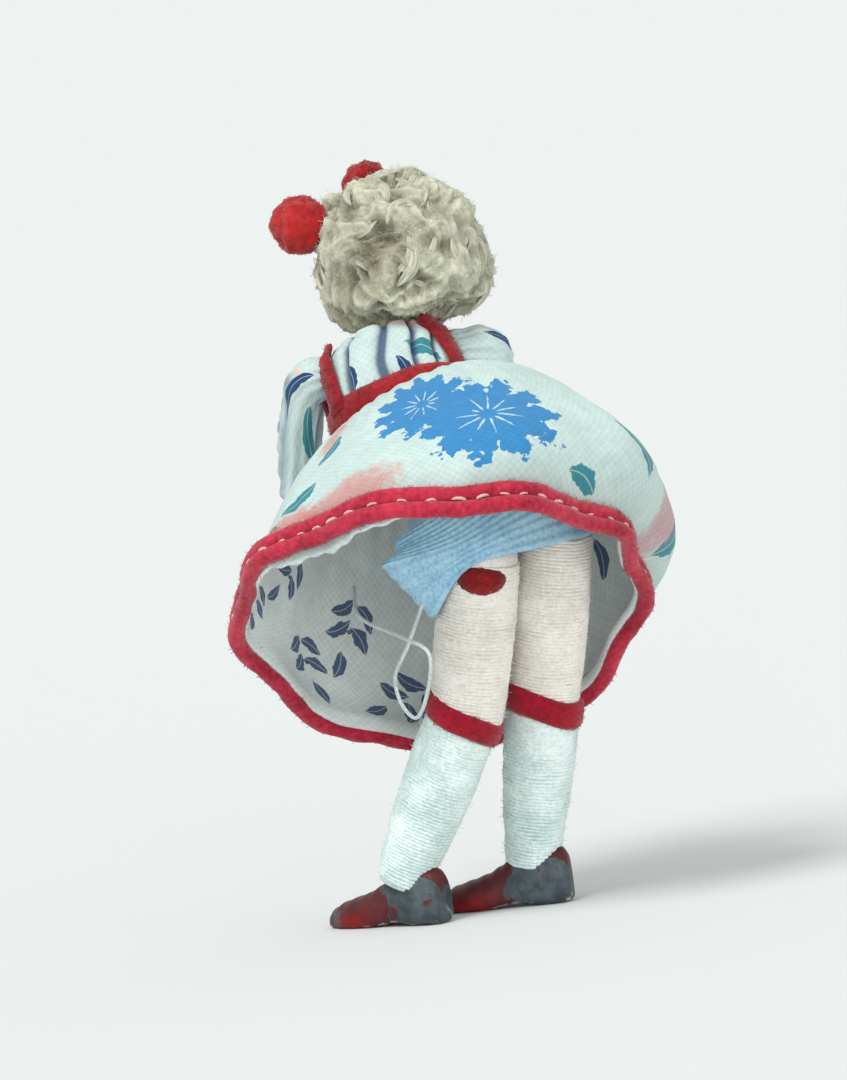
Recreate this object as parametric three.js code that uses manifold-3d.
// A dolls'-house girl doll on a bent wire armature, standing and bowing forward.
// Millimetres, +Z up. The doll faces -Y, its left is +X, and it stands on the plane z = 0.
import * as THREE from "three";
import { mergeVertices } from "three/addons/utils/BufferGeometryUtils.js";
import Module from "manifold-3d";

const wasm = await Module();
wasm.setup();

// Driving dimensions

const CLEARANCE = 0.35; // gap kept between pieces that touch on the real doll
const WIRE_RADIUS = 0.45; // armature wire
const BORE_RADIUS = WIRE_RADIUS + CLEARANCE;
const ROUND = 16; // sides of a round piece
const ARC_STEPS = 4; // steps of a ball or a cup in a limb's profile

// stance: plan positions on the floor, and the leans that the spine takes
const HIPS_PLAN = { x: -5.0, y: 9.0 };
const LEFT_ANKLE_PLAN = { x: 6.4, y: -1.0 };
const RIGHT_ANKLE_PLAN = { x: -7.0, y: 1.0 };
const LEFT_TOE_OUT = 27; // degrees
const RIGHT_TOE_IN = 50; // degrees
const KNEE_LEAN = { left: 2.1, right: 0 }; // knee from the straight line of the leg
const KNEE_LEAN_AIM = new THREE.Vector3(-0.883, 0.469, 0); // inward and back

// legs
const HIP_SPACING = 8.8;
const THIGH_LENGTH = 16.5; // hip joint to knee joint
const SHIN_LENGTH = 16.5; // knee joint to ankle joint
const THIGH_TOP_RADIUS = 3.2;
const KNEE_RADIUS = 3.1;
const ANKLE_RADIUS = 2.4;
const BEND_RISE = 2.3; // how far above a leg joint the upper piece stops

// wound thread
const THREAD_RADIUS = 0.27;
const THREAD_PITCH = 1.0;
const LOOP_STEPS = 12;
const THREAD_SIDES = 4;
const THIGH_WRAP_START = 4.7; // below the hip joint
const STOCKING_START = 4.2; // below the knee joint
const WRAP_END = 0.9; // from the last loop to the end of the padding

// garters and the patch on the left thigh
const GARTER_TOP = 1.0; // below the knee joint
const GARTER_HEIGHT = 2.4;
const GARTER_THICKNESS = 0.9;
const PATCH_TOP = 1.9; // below the hip joint
const PATCH_HEIGHT = 2.2;
const PATCH_THICKNESS = 0.6;
const PATCH_SPAN = 50; // degrees round the thigh
const PATCH_TURN = 62; // degrees from the doll's left towards its back

// shoes
const SHOE_LENGTH = 14.4;
const SHOE_WIDTH = 5.4;
const SHOE_HEEL_BACK = 3.3; // heel behind the ankle
const SHOE_TOP = 6.0; // rim above the floor
const SHOE_ARCH = 1.1; // underside of the waist of the shoe above the floor
const ANKLE_HEIGHT = 7.5; // ankle joint above the floor

// trunk
const WAIST_RISE = 17.5; // hips to waist
const WAIST_LEAN = new THREE.Vector3(5.9, -9.3, 13.6).normalize();
const NECK_RISE = 10.5; // waist to neck joint
const NECK_LEAN = new THREE.Vector3(-1.2, -5.7, 8.6).normalize();
const HIP_WIDTH = 6.0; // half sizes of the stuffed torso
const HIP_DEPTH = 4.2;
const WAIST_WIDTH = 5.3;
const WAIST_DEPTH = 4.0;
const PADDING_LIFT = 1.9; // torso padding above the thighs' balls
const CHEST_WIDTH = 4.8;
const CHEST_DEPTH = 4.0;
const CHEST_RISE = 6.4; // waist to the shoulder line
const TORSO_TURN = -24; // degrees to the doll's left that the chest twists over the hips
const NECK_RADIUS = 2.0;
const CLOTH = 0.7; // wall of the bodice, skirt and knickers
const GATHER = 0.35; // height of the bodice's gathers
const KNICKER_EASE = 2.4; // room for the thighs to swing inside the knickers
const KNICKER_FORWARD = 1.2; // belly of the knickers ahead of the spine
const KNICKER_RIM = 0.8; // rim below the hip joints
const KNICKER_TOP = 11.5; // top above the hips

// belt and straps
const BELT_HEIGHT = 1.9;
const BELT_THICKNESS = 1.0;
const STRAP_WIDTH = 1.7;
const STRAP_THICKNESS = 0.5;
const STRAP_FOOT = 48; // degrees from the middle of the back or front, at the belt
const STRAP_DROP = 0.9; // top of a strap below the foot of the neck
const STRAP_STEPS = 22;

// skirt
const SKIRT_SWING = { x: 1.3, y: 6.4 }; // hem centre from the waist, in plan
const SKIRT_DROP = 18.6;
const HEM_RADIUS = 20.4;
const PUFF = 4.4; // how far the full side swells beyond the line to its edge
const PUFF_POWER = 2.6; // the swelling sits lower on the cloth as this grows
const HEM_TURN = -24; // degrees to the doll's left that the skirt's front faces
const HEM_TILT = 40; // degrees, front edge down
const HEM_ROLL = -2; // degrees, left edge down
const HEM_SAG = 1.6; // front and back edges hang below the sides by twice this
const TUCK = 2.4; // how far the edge turns in under the full side
const TUCK_SIDE = 255; // degrees, as for the full side
const TUCK_POWER = 6; // the tuck keeps closer to the edge as this grows
const SKIRT_FOLDS = 9;
const FOLD_DEPTH = 0.55;
const CONE_POWER = 0.33; // how quickly the other side spreads
const FULL_SIDE = 285; // degrees round from the front by way of the left, the puffed side
const TRIM_WIDTH = 2.7;
const TRIM_THICKNESS = 1.5;

// arms
const SLEEVE_RADIUS = { left: 2.1, right: 2.8 }; // the left one hangs limp
const SLEEVE_LENGTH = 5.6;
const UPPER_ARM_LENGTH = 9.0;
const FOREARM_LENGTH = 8.0;
const ARM_RADIUS = 1.45;
const ELBOW_RADIUS = 1.35;
const WRIST_RADIUS = 1.2;
const HAND_LENGTH = 3.6;
const HAND_RADIUS = 1.7;
const ARM_BEND_RISE = 1.2;
const UPPER_ARM_SWING = -50; // degrees from hanging straight down, negative is forward
const FOREARM_SWING = -80;
const ARM_SPLAY = 8; // degrees outward
const FOREARM_INWARD = 14; // degrees

// head
const HEAD_RISE = 8.4; // neck joint to the head's centre
const HEAD_LEAN = new THREE.Vector3(-2.6, 0.7, 7.9).normalize();
const HEAD_TURN = -10; // degrees to its left
const HEAD_RADIUS = 6.0;
const HAIR_WIDTH = 9.4; // half sizes of the wig
const HAIR_HEIGHT = 8.3;
const HAIR_LOBE = 0.9;
const FACE_ANGLE = 46; // half angle of the wig's opening
const COLLAR_RADIUS = 5.6; // room under the wig for the neck and the top of the bodice
const LEFT_BOW_RADIUS = 2.8;
const UPPER_BOW_RADIUS = 2.5;
const BOW_PETALS = 5;
// directions from the head's centre, as the doll stands
const LEFT_BOW_AIM = new THREE.Vector3(8.5, -4.5, 4.2).normalize();
const UPPER_BOW_AIM = new THREE.Vector3(-0.4, -5.6, 7.0).normalize();

// loose thread under the skirt, from the knickers' rim round one hanging loop to the lining
const LOOSE_THREAD_RADIUS = 0.2;
const LOOSE_THREAD_STEPS = 60;
const THREAD_RIM_TURN = 75; // degrees round from the front by way of the left
const THREAD_LINING = { along: 0.4, turn: 30 }; // share of the skirt's length, degrees
const THREAD_LOOP = [
  [4.6, 1.7, -6.4],
  [5.2, -0.8, -9.7],
  [5.2, -0.3, -12.2],
  [5.2, 2.7, -13.8],
  [5.2, 6.2, -10.5],
  [5.5, 7.7, -7.0],
  [5.9, 3.2, -5.4],
  [5.0, -7.3, -3.6],
]; // points of the loop from where the thread leaves the rim

const radians = THREE.MathUtils.degToRad;
const DOWN = new THREE.Vector3(0, 0, -1);
const UP = new THREE.Vector3(0, 0, 1);

// Helpers for closed meshes

function facingOut(positions, index) {
  let volume = 0;
  const at = (i) => new THREE.Vector3().fromArray(positions, 3 * i);
  for (let i = 0; i < index.length; i += 3) {
    volume += at(index[i]).dot(at(index[i + 1]).cross(at(index[i + 2])));
  }
  const geometry = new THREE.BufferGeometry();
  geometry.setAttribute("position", new THREE.Float32BufferAttribute(positions, 3));
  geometry.setIndex(volume < 0 ? index.reverse() : index);
  return geometry;
}

// Joins rings of points, all of one count, into a closed skin. Rings that don't close on
// themselves get a flat cap at either end.
function loft(rings, ringsClose) {
  const size = rings[0].length;
  const positions = rings.flat().flatMap((p) => p.toArray());
  const index = [];
  const joins = ringsClose ? rings.length : rings.length - 1;
  for (let j = 0; j < joins; j += 1) {
    const a = j * size;
    const b = ((j + 1) % rings.length) * size;
    for (let k = 0; k < size; k += 1) {
      const next = (k + 1) % size;
      index.push(a + k, b + k, b + next, a + k, b + next, a + next);
    }
  }
  if (!ringsClose) {
    const last = (rings.length - 1) * size;
    for (let k = 1; k < size - 1; k += 1) {
      index.push(0, k, k + 1, last, last + k + 1, last + k);
    }
  }
  return facingOut(positions, index);
}

// A mesh with its seams closed and its collapsed faces dropped.
function closed(geometry) {
  const plain = geometry.clone();
  plain.deleteAttribute("normal");
  plain.deleteAttribute("uv");
  const merged = mergeVertices(plain, 1e-3);
  const faces = [];
  for (let i = 0; i < merged.index.count; i += 3) {
    const face = [0, 1, 2].map((k) => merged.index.getX(i + k));
    if (new Set(face).size === 3) faces.push(...face);
  }
  return facingOut([...merged.attributes.position.array], faces);
}

// A round piece from [radius, height] pairs that start and end on the axis or close on themselves.
function turned(pairs) {
  const profile = pairs.map(([r, z]) => new THREE.Vector2(r, z));
  return closed(new THREE.LatheGeometry(profile, ROUND).rotateX(Math.PI / 2));
}

function solid(geometry) {
  const whole = closed(geometry);
  return new wasm.Manifold(
    new wasm.Mesh({
      numProp: 3,
      vertProperties: whole.attributes.position.array,
      triVerts: new Uint32Array(whole.index.array),
    }),
  );
}

function geometryOf(manifold) {
  const mesh = manifold.getMesh();
  const geometry = new THREE.BufferGeometry();
  geometry.setAttribute("position", new THREE.BufferAttribute(mesh.vertProperties, 3));
  geometry.setIndex(new THREE.BufferAttribute(mesh.triVerts, 1));
  return geometry;
}

const cut = (geometry, ...tools) =>
  geometryOf(tools.reduce((left, tool) => left.subtract(solid(tool)), solid(geometry)));

const fuse = (a, b) => geometryOf(solid(a).add(solid(b)));

// Materials and nodes

const finish = (color, roughness, metalness = 0) => ({ color, roughness, metalness });
const FINISH = {
  wire: finish(0x8a8d90, 0.45, 0.9),
  padding: finish(0xd9cfbd, 0.95),
  skin: finish(0xd9b3a0, 0.85),
  wool: finish(0xbcbea3, 0.95),
  red: finish(0xb11c40, 0.9),
  bow: finish(0x980d17, 0.95),
  print: finish(0xb7d7d1, 0.9),
  knit: finish(0x9dcae1, 0.9),
  cream: finish(0xdedfd8, 0.9),
  white: finish(0xc8eae7, 0.9),
  metal: finish(0x4e5a5c, 0.55, 0.6),
  thread: finish(0xd8dcd8, 0.9),
};

function node(parent, name, geometry, look) {
  const mesh = new THREE.Mesh(geometry, new THREE.MeshStandardMaterial(FINISH[look]));
  mesh.name = name;
  parent.add(mesh);
  return mesh;
}

function joint(parent, name, position) {
  const group = new THREE.Group();
  group.name = name;
  group.position.copy(position);
  parent.add(group);
  return group;
}

const doll = new THREE.Group();

// Stance: each leg runs from its hip to its ankle, the knee leaning off the straight line, so the
// legs set the hips' height

function stance(side, anklePlan, lean) {
  const hip = new THREE.Vector3(HIPS_PLAN.x + (side * HIP_SPACING) / 2, HIPS_PLAN.y, 0);
  const ankle = new THREE.Vector3(anklePlan.x, anklePlan.y, ANKLE_HEIGHT);
  const reach = Math.hypot(ankle.x - hip.x, ankle.y - hip.y);
  const thighRun = Math.sqrt(THIGH_LENGTH ** 2 - lean ** 2);
  const shinRun = Math.sqrt(SHIN_LENGTH ** 2 - lean ** 2);
  hip.z = ANKLE_HEIGHT + Math.sqrt((thighRun + shinRun) ** 2 - reach ** 2);
  const straight = ankle.clone().sub(hip).normalize();
  const across = KNEE_LEAN_AIM.clone();
  across.addScaledVector(straight, -across.dot(straight)).setLength(lean);
  const knee = hip.clone().addScaledVector(straight, thighRun).add(across);
  return { hip, along: knee.clone().sub(hip).normalize(), shinAlong: ankle.sub(knee).normalize() };
}

const stances = {
  left: stance(1, LEFT_ANKLE_PLAN, KNEE_LEAN.left),
  right: stance(-1, RIGHT_ANKLE_PLAN, KNEE_LEAN.right),
};

const hips = stances.left.hip.clone().lerp(stances.right.hip, 0.5);
const waist = hips.clone().addScaledVector(WAIST_LEAN, WAIST_RISE);
const neck = waist.clone().addScaledVector(NECK_LEAN, NECK_RISE);

// One smooth curve runs from between the thighs up the spine. Heights along it are from the hips.
const crotch = stances.left.along
  .clone()
  .add(stances.right.along)
  .multiplyScalar(THIGH_LENGTH / 4)
  .add(hips);
const spine = new THREE.CatmullRomCurve3([crotch, hips, waist, neck]);
const SPINE_SPANS = 3;
const SPAN_DIVISIONS = 60;
const spineLengths = spine.getLengths(SPINE_SPANS * SPAN_DIVISIONS);
const [crotchToHips, crotchToWaist, crotchToNeck] = [1, 2, 3].map(
  (span) => spineLengths[span * SPAN_DIVISIONS],
);
const waistUp = crotchToWaist - crotchToHips;
const neckUp = crotchToNeck - crotchToHips;

function spineFrame(up) {
  const share = (up + crotchToHips) / crotchToNeck;
  const along = spine.getTangentAt(share);
  const point = spine.getPointAt(share);
  const twist = radians(TORSO_TURN) * THREE.MathUtils.clamp(up / waistUp, 0, 1);
  const side = new THREE.Vector3(Math.cos(twist), Math.sin(twist), 0);
  side.addScaledVector(along, -side.dot(along)).normalize();
  return { point, along, side, back: along.clone().cross(side) };
}

// A point on an oval round the spine. The turn is 0 at the front, 90 degrees at the doll's left.
function ovalPoint(up, width, depth, turn, forward = 0) {
  const { point, side, back } = spineFrame(up);
  point.addScaledVector(side, width * Math.sin(turn));
  return point.addScaledVector(back, -depth * Math.cos(turn) - forward);
}

const turns = (count) => Array.from({ length: count }, (_, i) => (i * 2 * Math.PI) / count);

// A wall round the spine. Each station is [height, half width, half depth, forward shift] of its
// inner face.
function spineWall(stations, wall, count, wave = () => 0) {
  const section = (turn) => {
    const grow = wall + wave(turn);
    const outer = stations.map(([up, w, d, f]) => ovalPoint(up, w + grow, d + grow, turn, f));
    const inner = stations.map(([up, w, d, f]) => ovalPoint(up, w, d, turn, f));
    return [...outer, ...inner.reverse()];
  };
  return loft(turns(count).map(section), true);
}

// Torso: stuffed padding with the spine wire through it and the arms' wire across it

const paddingStations = [
  [THIGH_TOP_RADIUS + PADDING_LIFT, HIP_WIDTH - 1.6, HIP_DEPTH - 0.8],
  [THIGH_TOP_RADIUS + PADDING_LIFT + 3, HIP_WIDTH, HIP_DEPTH],
  [(THIGH_TOP_RADIUS + 4 + waistUp) / 2, (HIP_WIDTH + WAIST_WIDTH) / 2, HIP_DEPTH],
  [waistUp, WAIST_WIDTH, WAIST_DEPTH],
  [waistUp + CHEST_RISE / 2, CHEST_WIDTH, CHEST_DEPTH],
  [waistUp + CHEST_RISE * 0.8, CHEST_WIDTH, CHEST_DEPTH],
  [neckUp - NECK_RADIUS - CLEARANCE, NECK_RADIUS + 0.5, NECK_RADIUS + 0.5],
];
const paddingBottom = paddingStations[0][0];
const paddingTop = paddingStations[paddingStations.length - 1][0];

function boredPadding() {
  const section = (turn) => {
    const outer = paddingStations.map(([up, w, d]) => ovalPoint(up, w, d, turn));
    const bore = paddingStations.map(([up]) => ovalPoint(up, BORE_RADIUS, BORE_RADIUS, turn));
    return [...outer, ...bore.reverse()];
  };
  return loft(turns(ROUND).map(section), true);
}

const chest = spineFrame(waistUp + CHEST_RISE);
const CROSS_WIRE_BACK = 2 * BORE_RADIUS + CLEARANCE; // passes behind the spine wire
const bodiceWidth = CHEST_WIDTH + CLEARANCE + CLOTH + GATHER;
const shoulderReach = (name) => bodiceWidth + 2 * CLEARANCE + SLEEVE_RADIUS[name];

function crossBar(radius, halfLength) {
  const bar = new THREE.CylinderGeometry(radius, radius, 2 * halfLength, 8).rotateZ(Math.PI / 2);
  const centre = chest.point.clone().addScaledVector(chest.back, CROSS_WIRE_BACK);
  const turn = new THREE.Matrix4().makeBasis(chest.side, chest.back, chest.along);
  return bar.applyMatrix4(turn.setPosition(centre));
}

const wireTunnel = crossBar(BORE_RADIUS, shoulderReach("right"));
node(doll, "torso_padding", cut(boredPadding(), wireTunnel), "padding");
node(doll, "shoulder_wire", crossBar(WIRE_RADIUS, bodiceWidth - CLOTH - GATHER), "wire");

function roundSection(radius, sides) {
  const corners = turns(sides).map(
    (t) => new THREE.Vector2(radius * Math.cos(t), radius * Math.sin(t)),
  );
  return new THREE.Shape(corners);
}

const spineWirePath = new THREE.CatmullRomCurve3(
  [0, 0.25, 0.5, 0.75, 1].map(
    (share) => spineFrame(paddingBottom + share * (paddingTop - paddingBottom)).point,
  ),
);
node(
  doll,
  "spine_wire",
  new THREE.ExtrudeGeometry(roundSection(WIRE_RADIUS, 8), { steps: 12, extrudePath: spineWirePath }),
  "wire",
);

// Knickers: a knitted pouch round the hips, open at the waist and below

const knickerWidth = HIP_SPACING / 2 + THIGH_TOP_RADIUS + KNICKER_EASE / 2;
const knickerDepth = THIGH_TOP_RADIUS + KNICKER_EASE + CLEARANCE;
const knickerWall = spineWall(
  [
    [-KNICKER_RIM, knickerWidth, knickerDepth, KNICKER_FORWARD],
    [2.0, knickerWidth + 0.2, knickerDepth + 0.3, KNICKER_FORWARD * 0.7],
    [5.0, knickerWidth - 0.2, knickerDepth + 0.3, KNICKER_FORWARD * 0.3],
    [KNICKER_TOP - 2.5, HIP_WIDTH + 0.8, HIP_DEPTH + 1.0],
    [KNICKER_TOP, HIP_WIDTH + CLEARANCE, HIP_DEPTH + CLEARANCE],
  ],
  CLOTH,
  28,
);
node(doll, "knickers", knickerWall, "knit");

// Bodice: gathered cotton from the belt to the neck, with holes for the arms' wire

const beltTop = waistUp + BELT_HEIGHT;
const BODICE_GATHERS = 9;
const bodiceStations = [
  [beltTop + CLEARANCE, WAIST_WIDTH + CLEARANCE, WAIST_DEPTH + CLEARANCE],
  [waistUp + CHEST_RISE * 0.6, CHEST_WIDTH + CLEARANCE, CHEST_DEPTH + CLEARANCE],
  [waistUp + CHEST_RISE, CHEST_WIDTH + CLEARANCE, CHEST_DEPTH + CLEARANCE],
  [neckUp - NECK_RADIUS, NECK_RADIUS + 1.7, NECK_RADIUS + 1.6],
  [neckUp - 1.5, NECK_RADIUS + 1.2, NECK_RADIUS + 1.2],
];
const gathers = (turn) => (GATHER * (1 + Math.cos(BODICE_GATHERS * turn))) / 2;
const bodiceWall = spineWall(bodiceStations, CLOTH, 4 * BODICE_GATHERS, gathers);
node(doll, "bodice", cut(bodiceWall, wireTunnel), "print");

// Belt and straps: red wool, laid over the waist and the bodice

const beltInner = CLEARANCE + CLOTH + GATHER;
node(
  doll,
  "belt",
  spineWall(
    [
      [waistUp, WAIST_WIDTH + CLEARANCE, WAIST_DEPTH + CLEARANCE],
      [beltTop, WAIST_WIDTH + CLEARANCE, WAIST_DEPTH + CLEARANCE],
    ],
    beltInner + BELT_THICKNESS - CLEARANCE,
    32,
  ),
  "red",
);

// Size of the bodice's outer face at any height, between its stations.
function bodiceOuter(up) {
  const above = bodiceStations.findIndex(([height]) => height >= up);
  const high = bodiceStations[above < 1 ? Math.max(above, 1) : above];
  const low = bodiceStations[bodiceStations.indexOf(high) - 1];
  const share = (up - low[0]) / (high[0] - low[0]);
  const grow = CLOTH + GATHER;
  return [1, 2].map((i) => THREE.MathUtils.lerp(low[i], high[i], share) + grow);
}

// A ribbon along a path of points, each with the outward direction of what it lies on.
function ribbon(path, width, thickness) {
  const ring = ({ point, out }, i) => {
    const before = path[Math.max(i - 1, 0)].point;
    const after = path[Math.min(i + 1, path.length - 1)].point;
    const across = after.clone().sub(before).cross(out).normalize().multiplyScalar(width / 2);
    const rise = out.clone().multiplyScalar(thickness);
    const low = point.clone().sub(across);
    const high = point.clone().add(across);
    return [low, high, high.clone().add(rise), low.clone().add(rise)];
  };
  return loft(path.map(ring), false);
}

// A strap climbs the bodice from the belt at the back, crosses beside the neck and comes down in front.
function strap(side) {
  const foot = bodiceStations[0][0] + CLEARANCE;
  const top = neckUp - NECK_RADIUS - STRAP_DROP;
  const path = Array.from({ length: STRAP_STEPS + 1 }, (_, i) => {
    const way = (2 * i) / STRAP_STEPS - 1; // -1 at the back, 1 at the front
    const up = foot + (top - foot) * (1 - way ** 4);
    const turn = side * (Math.PI / 2 - way * radians(90 - STRAP_FOOT));
    const [w, d] = bodiceOuter(up);
    const lift = 2 * CLEARANCE;
    const point = ovalPoint(up, w + lift, d + lift, turn);
    const out = ovalPoint(up, w + 2 * lift, d + 2 * lift, turn).sub(point).normalize();
    return { point, out };
  });
  return ribbon(path, STRAP_WIDTH, STRAP_THICKNESS);
}

for (const [name, side] of [["left_strap", 1], ["right_strap", -1]]) {
  node(doll, name, strap(side), "red");
}

// Skirt: stiff cotton that swells from the waist, fullest at the back and right, with a wool trim

const waistFrame = spineFrame(waistUp - CLEARANCE);
const skirtWaistWidth = WAIST_WIDTH + CLEARANCE;
const hemCentre = waistFrame.point
  .clone()
  .add(new THREE.Vector3(SKIRT_SWING.x, SKIRT_SWING.y, -SKIRT_DROP));
const skirtLength = hemCentre.distanceTo(waistFrame.point);
const hemTurn = new THREE.Quaternion().setFromEuler(
  new THREE.Euler(radians(HEM_TILT), radians(HEM_ROLL), radians(HEM_TURN), "ZXY"),
);
const waistTurn = new THREE.Quaternion().setFromRotationMatrix(
  new THREE.Matrix4().makeBasis(waistFrame.side, waistFrame.back, waistFrame.along),
);

// A point of the cloth: along is 0 at the waist and 1 at the edge, lift is out from the inner face.
function skirtPoint(along, turn, lift) {
  const fullness = 0.5 + 0.5 * Math.cos(turn - radians(FULL_SIDE));
  const dome = Math.sqrt(Math.max(0, 1 - (1 - Math.min(along, 1)) ** 2));
  const cone = along ** CONE_POWER;
  const spread = THREE.MathUtils.lerp(cone, dome, fullness);
  const puff = PUFF * fullness * Math.sin(Math.PI * Math.min(along, 1) ** PUFF_POWER);
  const tucked = Math.max(0, Math.cos(turn - radians(TUCK_SIDE))) ** 2;
  const tuck = TUCK * tucked * Math.min(along, 1) ** TUCK_POWER;
  const fold = FOLD_DEPTH * along * Math.cos(SKIRT_FOLDS * turn);
  const swell = puff + fold + lift - tuck;
  const radius = THREE.MathUtils.lerp(skirtWaistWidth, HEM_RADIUS, spread) + swell;
  const sag = HEM_SAG * along ** 2 * Math.cos(2 * turn);
  const level = new THREE.Vector3(radius * Math.sin(turn), -radius * Math.cos(turn), -sag);
  level.applyQuaternion(waistTurn.clone().slerp(hemTurn, Math.min(along, 1)));
  return waistFrame.point.clone().lerp(hemCentre, along).add(level);
}

const SKIRT_SIDES = 45;
const SKIRT_ROWS = [0, 0.04, 0.12, 0.24, 0.4, 0.58, 0.78, 1];

function skirtWall() {
  const section = (turn) => [
    ...SKIRT_ROWS.map((along) => skirtPoint(along, turn, CLOTH)),
    ...SKIRT_ROWS.map((along) => skirtPoint(along, turn, 0)).reverse(),
  ];
  return loft(turns(SKIRT_SIDES).map(section), true);
}

node(doll, "skirt", skirtWall(), "print");

function hemTrim() {
  const start = 1 + CLEARANCE / skirtLength;
  const end = start + TRIM_WIDTH / skirtLength;
  const middle = (start + end) / 2;
  const low = (CLOTH - TRIM_THICKNESS) / 2;
  const high = low + TRIM_THICKNESS;
  const section = (turn) => [
    skirtPoint(start, turn, 0),
    skirtPoint(middle, turn, low),
    skirtPoint(end, turn, 0),
    skirtPoint(end, turn, CLOTH),
    skirtPoint(middle, turn, high),
    skirtPoint(start, turn, CLOTH),
  ];
  return loft(turns(SKIRT_SIDES).map(section), true);
}

node(doll, "hem_trim", hemTrim(), "red");

// Loose thread: it hangs clear of the left leg's swing

const threadGap = CLEARANCE + LOOSE_THREAD_RADIUS;
const threadStart = ovalPoint(
  -KNICKER_RIM,
  knickerWidth + CLOTH,
  knickerDepth + CLOTH,
  radians(THREAD_RIM_TURN),
  KNICKER_FORWARD,
).addScaledVector(DOWN, 2 * threadGap);
const threadPath = new THREE.CatmullRomCurve3([
  threadStart,
  ...THREAD_LOOP.map((offset) => new THREE.Vector3(...offset).add(threadStart)),
  skirtPoint(THREAD_LINING.along, radians(THREAD_LINING.turn), -threadGap),
]);
node(
  doll,
  "loose_thread",
  new THREE.ExtrudeGeometry(roundSection(LOOSE_THREAD_RADIUS, 8), {
    steps: LOOSE_THREAD_STEPS,
    extrudePath: threadPath,
  }),
  "thread",
);
console.log(`loose_thread: ${threadPath.getLength().toFixed(1)} mm long`);

// Wound thread: one unbroken tube down a limb whose padding tapers. Heights are down from the joint.

function winding(name, start, end, radiusAt) {
  const loops = Math.floor((end - start) / THREAD_PITCH);
  const steps = loops * LOOP_STEPS;
  const lay = CLEARANCE + THREAD_RADIUS;
  const centre = (i) => {
    const turn = (i * 2 * Math.PI) / LOOP_STEPS;
    const drop = start + (i / LOOP_STEPS) * THREAD_PITCH;
    const r = radiusAt(drop) + lay;
    return new THREE.Vector3(r * Math.cos(turn), r * Math.sin(turn), -drop);
  };
  const path = Array.from({ length: steps + 1 }, (_, i) => centre(i));
  const tail = (from, to) =>
    to.clone().addScaledVector(to.clone().sub(from).normalize(), 2 * THREAD_RADIUS);
  path.unshift(tail(path[1], path[0]));
  path.push(tail(path[steps], path[steps + 1]));
  let least = Infinity;
  path.forEach((p, i) =>
    path.slice(i + LOOP_STEPS / 2).forEach((q) => {
      least = Math.min(least, p.distanceTo(q) - 2 * THREAD_RADIUS);
    }),
  );
  console.log(`${name}: ${loops} loops, least gap to itself ${least.toFixed(2)} mm`);
  const ring = (p, i) => {
    const before = path[Math.max(i - 1, 0)];
    const after = path[Math.min(i + 1, path.length - 1)];
    const along = after.clone().sub(before).normalize();
    const out = new THREE.Vector3(p.x, p.y, 0).normalize();
    out.addScaledVector(along, -out.dot(along)).normalize();
    const across = along.clone().cross(out);
    return turns(THREAD_SIDES).map((t) =>
      p
        .clone()
        .addScaledVector(out, THREAD_RADIUS * Math.cos(t))
        .addScaledVector(across, THREAD_RADIUS * Math.sin(t)),
    );
  };
  return loft(path.map(ring), false);
}

// A limb hangs down its own -Z from a joint: a ball at the joint, a taper, and a cup at the next joint.
function limbPadding(length, topRadius, endRadius, nextRadius, rise) {
  const arc = (radius, from, to, z) =>
    Array.from({ length: ARC_STEPS + 1 }, (_, i) => {
      const angle = THREE.MathUtils.lerp(from, to, i / ARC_STEPS);
      return [radius * Math.cos(angle), z + radius * Math.sin(angle)];
    });
  const boreAngle = Math.acos(BORE_RADIUS / topRadius);
  const cup = nextRadius + CLEARANCE;
  const cupMouth = Math.asin(Math.min(1, rise / cup));
  const cupAngle = Math.acos(BORE_RADIUS / cup);
  const inside = cup * Math.cos(cupMouth) < endRadius;
  return turned(
    [
      ...arc(topRadius, boreAngle, 0, 0),
      [endRadius, rise - length],
      ...(inside ? arc(cup, cupMouth, cupAngle, -length) : [[BORE_RADIUS, rise - length]]),
      [BORE_RADIUS, topRadius * Math.sin(boreAngle)],
    ],
  );
}

const wireRod = (from, to) =>
  new THREE.CylinderGeometry(WIRE_RADIUS, WIRE_RADIUS, from - to, 8)
    .rotateX(Math.PI / 2)
    .translate(0, 0, (from + to) / 2);

const band = (inner, outer, top, bottom) =>
  turned([
    [inner, bottom],
    [outer, bottom],
    [outer, top],
    [inner, top],
    [inner, bottom],
  ]);

// A band over part of a turn, as for the patch on the thigh.
function arcBand(inner, outer, top, bottom, from, to) {
  const STEPS = 6;
  const ring = (i) => {
    const turn = THREE.MathUtils.lerp(from, to, i / STEPS);
    const at = (r, z) => new THREE.Vector3(r * Math.cos(turn), r * Math.sin(turn), z);
    return [at(inner, top), at(outer, top), at(outer, bottom), at(inner, bottom)];
  };
  return loft(Array.from({ length: STEPS + 1 }, (_, i) => ring(i)), false);
}

// Shoe: cast metal, flat at heel and ball, with the ankle stub that the leg bends on

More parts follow.
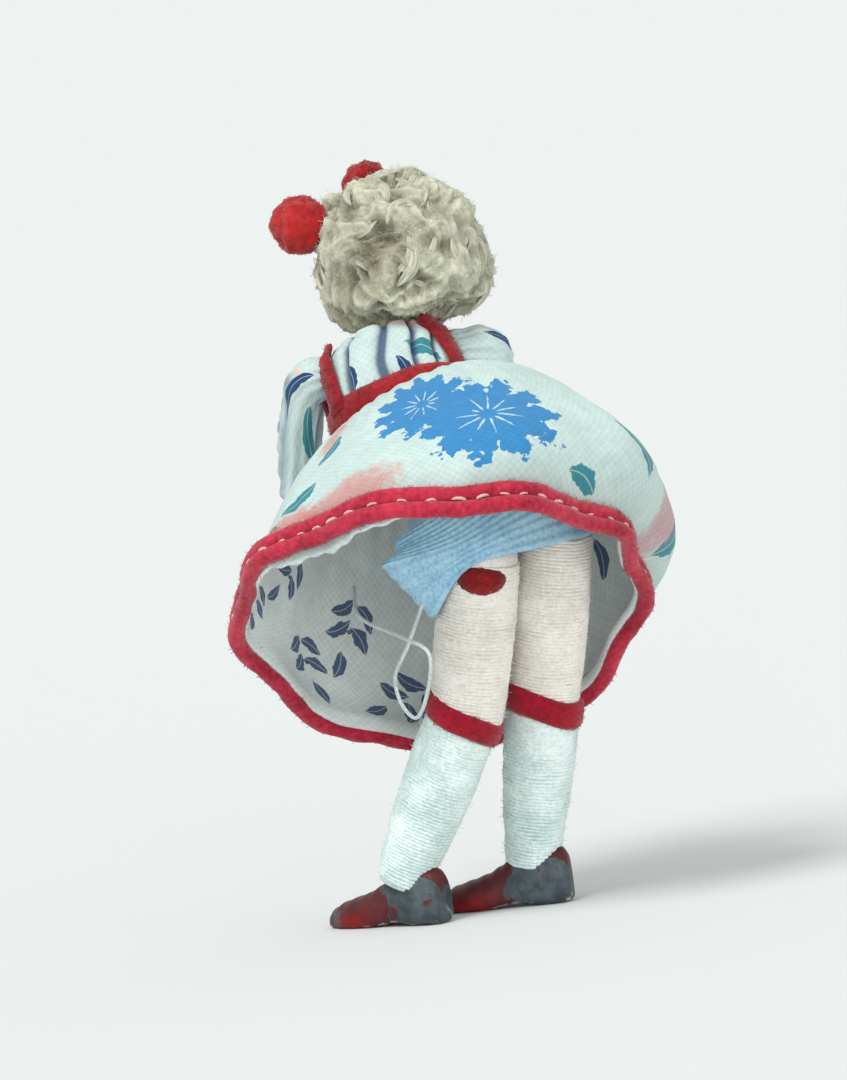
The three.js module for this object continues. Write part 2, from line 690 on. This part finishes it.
function shoe() {
  const heel = SHOE_HEEL_BACK;
  const half = SHOE_WIDTH / 2;
  // [share of the length from the heel, half width, underside, top]
  const sections = [
    [0, 0.5, 0, 0.8],
    [0.05, 0.74, 0, 0.96],
    [0.16, 0.86, 0, 1],
    [0.29, 0.86, 0, 1],
    [0.31, 0.84, SHOE_ARCH, 1],
    [0.44, 0.84, SHOE_ARCH, 0.82],
    [0.52, 0.92, 0, 0.7],
    [0.66, 1, 0, 0.56],
    [0.8, 0.94, 0, 0.47],
    [0.92, 0.7, 0, 0.38],
    [1, 0.34, 0, 0.26],
  ];
  const ring = ([share, width, under, top]) => {
    const w = width * half;
    const high = top * SHOE_TOP;
    const y = heel - share * SHOE_LENGTH;
    return [
      [-w * 0.86, under],
      [w * 0.86, under],
      [w, under + 0.25 * (high - under)],
      [w * 0.92, under + 0.6 * (high - under)],
      [w * 0.6, under + 0.92 * (high - under)],
      [0, high],
      [-w * 0.6, under + 0.92 * (high - under)],
      [-w * 0.92, under + 0.6 * (high - under)],
      [-w, under + 0.25 * (high - under)],
    ].map(([x, z]) => new THREE.Vector3(x, y, z));
  };
  const stub = turned([
    [0, ANKLE_HEIGHT + ANKLE_RADIUS],
    [ANKLE_RADIUS * 0.5, ANKLE_HEIGHT + ANKLE_RADIUS * 0.87],
    [ANKLE_RADIUS * 0.87, ANKLE_HEIGHT + ANKLE_RADIUS * 0.5],
    [ANKLE_RADIUS, ANKLE_HEIGHT],
    [ANKLE_RADIUS, SHOE_TOP * 0.6],
    [0, SHOE_TOP * 0.6],
  ]);
  return fuse(loft(sections.map(ring), false), stub).translate(0, 0, -ANKLE_HEIGHT);
}

function leg(side, { hip, along, shinAlong }, footTurn) {
  const aim = new THREE.Quaternion().setFromUnitVectors(DOWN, along);
  const shinAim = new THREE.Quaternion().setFromUnitVectors(DOWN, shinAlong);
  const thigh = joint(doll, `${side}_hip`, hip);
  thigh.quaternion.copy(aim);
  const thighRadius = (drop) =>
    THREE.MathUtils.lerp(THIGH_TOP_RADIUS, KNEE_RADIUS, drop / (THIGH_LENGTH - BEND_RISE));
  const thighEnd = THIGH_LENGTH - BEND_RISE;
  const shinEnd = SHIN_LENGTH - BEND_RISE;
  node(
    thigh,
    `${side}_thigh_padding`,
    limbPadding(THIGH_LENGTH, THIGH_TOP_RADIUS, KNEE_RADIUS, KNEE_RADIUS, BEND_RISE),
    "padding",
  );
  const thighWire = wireRod(THIGH_TOP_RADIUS * 0.8, -THIGH_LENGTH + KNEE_RADIUS + 1);
  node(thigh, `${side}_thigh_wire`, thighWire, "wire");
  const thighWrapName = `${side}_thigh_wrap`;
  const thighWrapEnd = thighEnd - WRAP_END;
  const thighThread = winding(thighWrapName, THIGH_WRAP_START, thighWrapEnd, thighRadius);
  node(thigh, thighWrapName, thighThread, "cream");

  const shin = joint(thigh, `${side}_knee`, new THREE.Vector3(0, 0, -THIGH_LENGTH));
  shin.quaternion.copy(aim).invert().multiply(shinAim);
  const shinRadius = (drop) =>
    THREE.MathUtils.lerp(KNEE_RADIUS, ANKLE_RADIUS, Math.max(0, drop / shinEnd));
  node(
    shin,
    `${side}_shin_padding`,
    limbPadding(SHIN_LENGTH, KNEE_RADIUS, ANKLE_RADIUS, ANKLE_RADIUS, BEND_RISE),
    "padding",
  );
  node(shin, `${side}_shin_wire`, wireRod(KNEE_RADIUS * 0.8, -SHIN_LENGTH + ANKLE_RADIUS + 1), "wire");
  const stockingName = `${side}_stocking_wrap`;
  node(shin, stockingName, winding(stockingName, STOCKING_START, shinEnd - WRAP_END, shinRadius), "white");
  const garterInner = KNEE_RADIUS + CLEARANCE;
  const garterOuter = garterInner + GARTER_THICKNESS;
  node(
    shin,
    `${side}_garter`,
    band(garterInner, garterOuter, -GARTER_TOP, -GARTER_TOP - GARTER_HEIGHT),
    "red",
  );

  // the foot stands level on the floor, whatever way the leg leans
  const foot = joint(shin, `${side}_ankle`, new THREE.Vector3(0, 0, -SHIN_LENGTH));
  foot.quaternion.copy(shinAim).invert();
  foot.quaternion.multiply(new THREE.Quaternion().setFromAxisAngle(UP, radians(footTurn)));
  node(foot, `${side}_shoe`, shoe(), "metal");
  return thigh;
}

const leftThigh = leg("left", stances.left, LEFT_TOE_OUT);
leg("right", stances.right, RIGHT_TOE_IN);

const patchInner = THIGH_TOP_RADIUS + CLEARANCE;
node(
  leftThigh,
  "thigh_patch",
  arcBand(
    patchInner,
    patchInner + PATCH_THICKNESS,
    -PATCH_TOP,
    -PATCH_TOP - PATCH_HEIGHT,
    radians(PATCH_TURN - PATCH_SPAN / 2),
    radians(PATCH_TURN + PATCH_SPAN / 2),
  ),
  "red",
);

// Arms: stuffed, with a gathered sleeve at the shoulder and a rounded mitten hand

function sleeve(radius) {
  const GATHERS = 8;
  const inner = ARM_RADIUS + CLEARANCE;
  // [share of the length from the top, share of the puff]
  const stations = [
    [0, 0.35],
    [0.2, 0.85],
    [0.45, 1],
    [0.7, 0.85],
    [1, 0.3],
  ];
  const top = SLEEVE_LENGTH * 0.32;
  const section = (turn) => {
    const fold = 1 - 0.14 * (1 + Math.cos(GATHERS * turn));
    const outer = stations.map(([share, puff]) => {
      const r = inner + (radius - inner) * puff * fold + CLEARANCE / 2;
      return [Math.min(r, radius), top - share * SLEEVE_LENGTH];
    });
    const lining = stations.map(([share]) => [inner, top - share * SLEEVE_LENGTH]);
    return [...outer, ...lining.reverse()].map(
      ([r, z]) => new THREE.Vector3(r * Math.cos(turn), r * Math.sin(turn), z),
    );
  };
  return loft(turns(3 * GATHERS).map(section), true);
}

function arm(name, side) {
  const place = chest.point.clone().addScaledVector(chest.side, side * shoulderReach(name));
  const shoulder = joint(doll, `${name}_shoulder`, place);
  shoulder.rotation.z = radians(TORSO_TURN);
  const upper = joint(shoulder, "", new THREE.Vector3());
  upper.rotation.set(radians(UPPER_ARM_SWING), -side * radians(ARM_SPLAY), 0);
  node(
    upper,
    `${name}_upper_arm`,
    limbPadding(UPPER_ARM_LENGTH, ARM_RADIUS, ELBOW_RADIUS, ELBOW_RADIUS, ARM_BEND_RISE),
    "padding",
  );
  const upperWireEnd = UPPER_ARM_LENGTH - ELBOW_RADIUS - 2 * CLEARANCE;
  node(upper, `${name}_upper_arm_wire`, wireRod(ARM_RADIUS * 0.7, -upperWireEnd), "wire");
  node(upper, `${name}_sleeve`, sleeve(SLEEVE_RADIUS[name]), "print");

  const fore = joint(upper, `${name}_elbow`, new THREE.Vector3(0, 0, -UPPER_ARM_LENGTH));
  fore.rotation.set(radians(FOREARM_SWING - UPPER_ARM_SWING), side * radians(FOREARM_INWARD), 0);
  node(
    fore,
    `${name}_forearm`,
    turned([
      [BORE_RADIUS, ELBOW_RADIUS * 0.83],
      [ELBOW_RADIUS * 0.85, ELBOW_RADIUS * 0.53],
      [ELBOW_RADIUS, 0],
      [WRIST_RADIUS, -FOREARM_LENGTH],
      [BORE_RADIUS, -FOREARM_LENGTH],
      [BORE_RADIUS, ELBOW_RADIUS * 0.83],
    ]),
    "skin",
  );
  node(fore, `${name}_forearm_wire`, wireRod(ELBOW_RADIUS * 0.6, -FOREARM_LENGTH), "wire");
  const hand = new THREE.SphereGeometry(1, 10, 8);
  hand.scale(HAND_RADIUS * 0.62, HAND_RADIUS, HAND_LENGTH / 2);
  hand.translate(0, 0, -FOREARM_LENGTH - CLEARANCE - HAND_LENGTH / 2);
  node(fore, `${name}_hand`, closed(hand), "skin");
}

arm("left", 1);
arm("right", -1);

// Neck and head: a bound neck on its wire, a stuffed ball and the wool wig with its bows

const neckGroup = joint(doll, "neck", neck);
neckGroup.quaternion.setFromUnitVectors(UP, HEAD_LEAN);
const headBase = HEAD_RISE - HEAD_RADIUS; // lowest point of the ball above the neck joint
node(
  neckGroup,
  "neck_wrap",
  turned([
    [BORE_RADIUS, -Math.sqrt(NECK_RADIUS ** 2 - BORE_RADIUS ** 2)],
    [NECK_RADIUS * 0.7, -NECK_RADIUS * 0.71],
    [NECK_RADIUS, 0],
    [NECK_RADIUS, headBase - CLEARANCE],
    [BORE_RADIUS, headBase - CLEARANCE],
    [BORE_RADIUS, -Math.sqrt(NECK_RADIUS ** 2 - BORE_RADIUS ** 2)],
  ]),
  "skin",
);
const neckWireTop = HEAD_RISE - HEAD_RADIUS * 0.3;
node(neckGroup, "neck_wire", wireRod(neckWireTop, -NECK_RADIUS * 0.7), "wire");

const head = joint(neckGroup, "head", new THREE.Vector3(0, 0, HEAD_RISE));
head.rotation.z = radians(HEAD_TURN);

function headBall() {
  const STEPS = 10;
  const last = Math.PI - Math.asin(BORE_RADIUS / HEAD_RADIUS);
  const arc = Array.from({ length: STEPS + 1 }, (_, i) => {
    const polar = (last * i) / STEPS;
    return [HEAD_RADIUS * Math.sin(polar), HEAD_RADIUS * Math.cos(polar)];
  });
  const holeTop = neckWireTop - HEAD_RISE + CLEARANCE;
  return turned([...arc, [BORE_RADIUS, holeTop], [0, holeTop]]);
}

node(head, "head", headBall(), "skin");

// Distance from the head's centre to the wig's mean surface, along a direction.
const hairReach = (aim) =>
  1 / Math.hypot(Math.hypot(aim.x, aim.y) / HAIR_WIDTH, aim.z / HAIR_HEIGHT);

// A ball whose surface rises and falls: swell gives the radius for an azimuth and a polar angle.
function swollenBall(around, down, swell) {
  const ball = new THREE.SphereGeometry(1, around, down).rotateX(Math.PI / 2);
  const position = ball.getAttribute("position");
  const p = new THREE.Vector3();
  for (let i = 0; i < position.count; i += 1) {
    p.fromBufferAttribute(position, i).normalize();
    const polar = Math.acos(THREE.MathUtils.clamp(p.z, -1, 1));
    p.multiplyScalar(swell(p, Math.atan2(p.y, p.x), polar));
    position.setXYZ(i, p.x, p.y, p.z);
  }
  return closed(ball);
}

function wig(bows) {
  const locks = swollenBall(30, 18, (p, azimuth, polar) => {
    const big = Math.sin(5 * azimuth + 1.2) * Math.sin(4 * polar);
    const small = Math.sin(9 * azimuth - 0.7) * Math.sin(6 * polar);
    return hairReach(p) + (HAIR_LOBE * (big + 0.6 * small) * Math.sin(polar)) / 1.6;
  });
  const skull = new THREE.SphereGeometry(HEAD_RADIUS + CLEARANCE, 20, 14);
  const faceDepth = 2 * HAIR_WIDTH;
  const faceRadius = faceDepth * Math.tan(radians(FACE_ANGLE));
  const face = new THREE.ConeGeometry(faceRadius, faceDepth, 20).translate(0, -faceDepth / 2, 0);
  const collar = new THREE.CylinderGeometry(1, 1, HEAD_RISE, 14).rotateX(Math.PI / 2);
  collar.scale(COLLAR_RADIUS, COLLAR_RADIUS, 1).translate(0, 0, -HEAD_RADIUS - HEAD_RISE / 2 + 1);
  const seats = bows.map(({ centre, radius }) =>
    new THREE.SphereGeometry(radius + CLEARANCE, 14, 10).translate(...centre.toArray()),
  );
  return cut(locks, skull, face, collar, ...seats);
}

const bows = [
  { name: "left_bow", aim: LEFT_BOW_AIM, radius: LEFT_BOW_RADIUS, stand: 0.5 },
  { name: "upper_bow", aim: UPPER_BOW_AIM, radius: UPPER_BOW_RADIUS, stand: 0.4 },
];
const headUnturned = neckGroup.quaternion.clone().multiply(head.quaternion).invert();
for (const bow of bows) {
  bow.aim.applyQuaternion(headUnturned);
  bow.centre = bow.aim.clone().multiplyScalar(hairReach(bow.aim) + bow.stand * bow.radius);
}
node(head, "hair", wig(bows), "wool");
for (const { name, centre, radius } of bows) {
  const puff = swollenBall(15, 8, (p, azimuth, polar) => {
    const petals = Math.cos(BOW_PETALS * azimuth) * Math.sin(polar) ** 2;
    return radius * (0.93 + 0.07 * petals);
  });
  node(head, name, puff.translate(...centre.toArray()), "bow");
}

// The doll stands on z = 0 with the middle of its box over the origin.

const part = new THREE.Group();
part.add(doll);
const box = new THREE.Box3().setFromObject(part, true);
const middle = box.getCenter(new THREE.Vector3());
doll.position.set(-middle.x, -middle.y, -box.min.z);

export default part;
